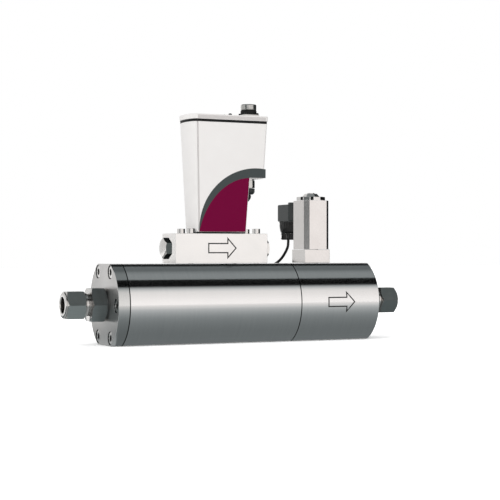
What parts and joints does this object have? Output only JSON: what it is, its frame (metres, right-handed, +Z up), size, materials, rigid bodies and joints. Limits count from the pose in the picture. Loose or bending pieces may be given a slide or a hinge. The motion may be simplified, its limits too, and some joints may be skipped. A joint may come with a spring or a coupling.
{
  "type": "mass flow controller",
  "caption": "Thermal gas mass flow controller: round steel body with two flats, compression fittings, sensor block, tapered electronics housing and solenoid control valve.",
  "frame": {"origin": "on the bottom flat of the body, at the middle of its length", "axes": "+X along the flow from the inlet fitting to the outlet fitting, +Z up through the housing, +Y towards the back with the valve's cable plug"},
  "size_m": [0.3888, 0.093, 0.2553],
  "materials": {
    "polished_steel": "polished stainless steel",
    "bright_steel": "fine brushed, bright",
    "bolt_steel": "stainless screw",
    "fitting_steel": "turned steel",
    "inner_steel": "turned steel",
    "nickel_plate": "satin nickel plate",
    "copper_winding": "enamelled copper wire",
    "silver_paint": "satin silver-white paint on cast aluminium",
    "seal_rubber": "matt",
    "lead_jacket": "matt",
    "black_plastic": "fine moulded",
    "circuit_board": "solder mask",
    "lamp_lens": "clear moulded"
  },
  "bodies": {
    "controller": {"armature_tube": "inner_steel", "block_screw_1": "bolt_steel", "block_screw_2": "bolt_steel", "block_screw_3": "bolt_steel", "block_screw_4": "bolt_steel", "body_tube": "polished_steel", "cable_gland_nut": "black_plastic", "circuit_board": "circuit_board", "coil_case": "bright_steel", "coil_nut": "fitting_steel", "coil_top_plate": "nickel_plate", "coil_winding": "copper_winding", "connector_insert": "black_plastic", "connector_shell": "nickel_plate", "flange_seal": "seal_rubber", "flow_sieve": "inner_steel", "housing_gasket": "seal_rubber", "housing_lid": "silver_paint", "housing_shell": "silver_paint", "inlet_back_ferrule": "fitting_steel", "inlet_fitting_body": "fitting_steel", "inlet_fitting_nut": "fitting_steel", "inlet_flange": "polished_steel", "inlet_front_ferrule": "fitting_steel", "inlet_port_seal": "seal_rubber", "inlet_screw_1": "bolt_steel", "inlet_screw_2": "bolt_steel", "inlet_screw_3": "bolt_steel", "inlet_screw_4": "bolt_steel", "inlet_screw_5": "bolt_steel", "inlet_screw_6": "bolt_steel", "laminar_element": "inner_steel", "lead_gland": "nickel_plate", "lead_plug": "black_plastic", "left_block_plug": "fitting_steel", "lid_gasket": "seal_rubber", "outlet_back_ferrule": "fitting_steel", "outlet_fitting_body": "fitting_steel", "outlet_fitting_nut": "fitting_steel", "outlet_front_ferrule": "fitting_steel", "outlet_port_seal": "seal_rubber", "outlet_screw_1": "bolt_steel", "outlet_screw_2": "bolt_steel", "outlet_screw_3": "bolt_steel", "outlet_screw_4": "bolt_steel", "outlet_screw_5": "bolt_steel", "outlet_screw_6": "bolt_steel", "plunger_spring": "inner_steel", "right_block_plug": "fitting_steel", "sensor_block": "polished_steel", "sensor_tube": "inner_steel", "status_lamp": "lamp_lens", "valve_base": "polished_steel", "valve_lead": "lead_jacket", "valve_plug": "black_plastic", "valve_seat": "inner_steel", "valve_section": "polished_steel", "valve_section_seal": "seal_rubber"},
    "plunger": {"valve_plunger": "inner_steel"},
    "button": {"mode_button": "black_plastic"}
  },
  "joints": [
    {"name": "plunger_lift", "type": "slide", "parent": "controller", "child": "plunger", "axis": [0, 0, 1], "range_m": [0, 0.0006], "stiffness_N_per_m": 800, "springref_m": -0.002, "deforming": ["plunger_spring"]},
    {"name": "button_press", "type": "slide", "parent": "controller", "child": "button", "axis": [0, 0, -1], "range_m": [0, 0.0008], "stiffness_N_per_m": 300, "springref_m": -0.001}
  ]
}
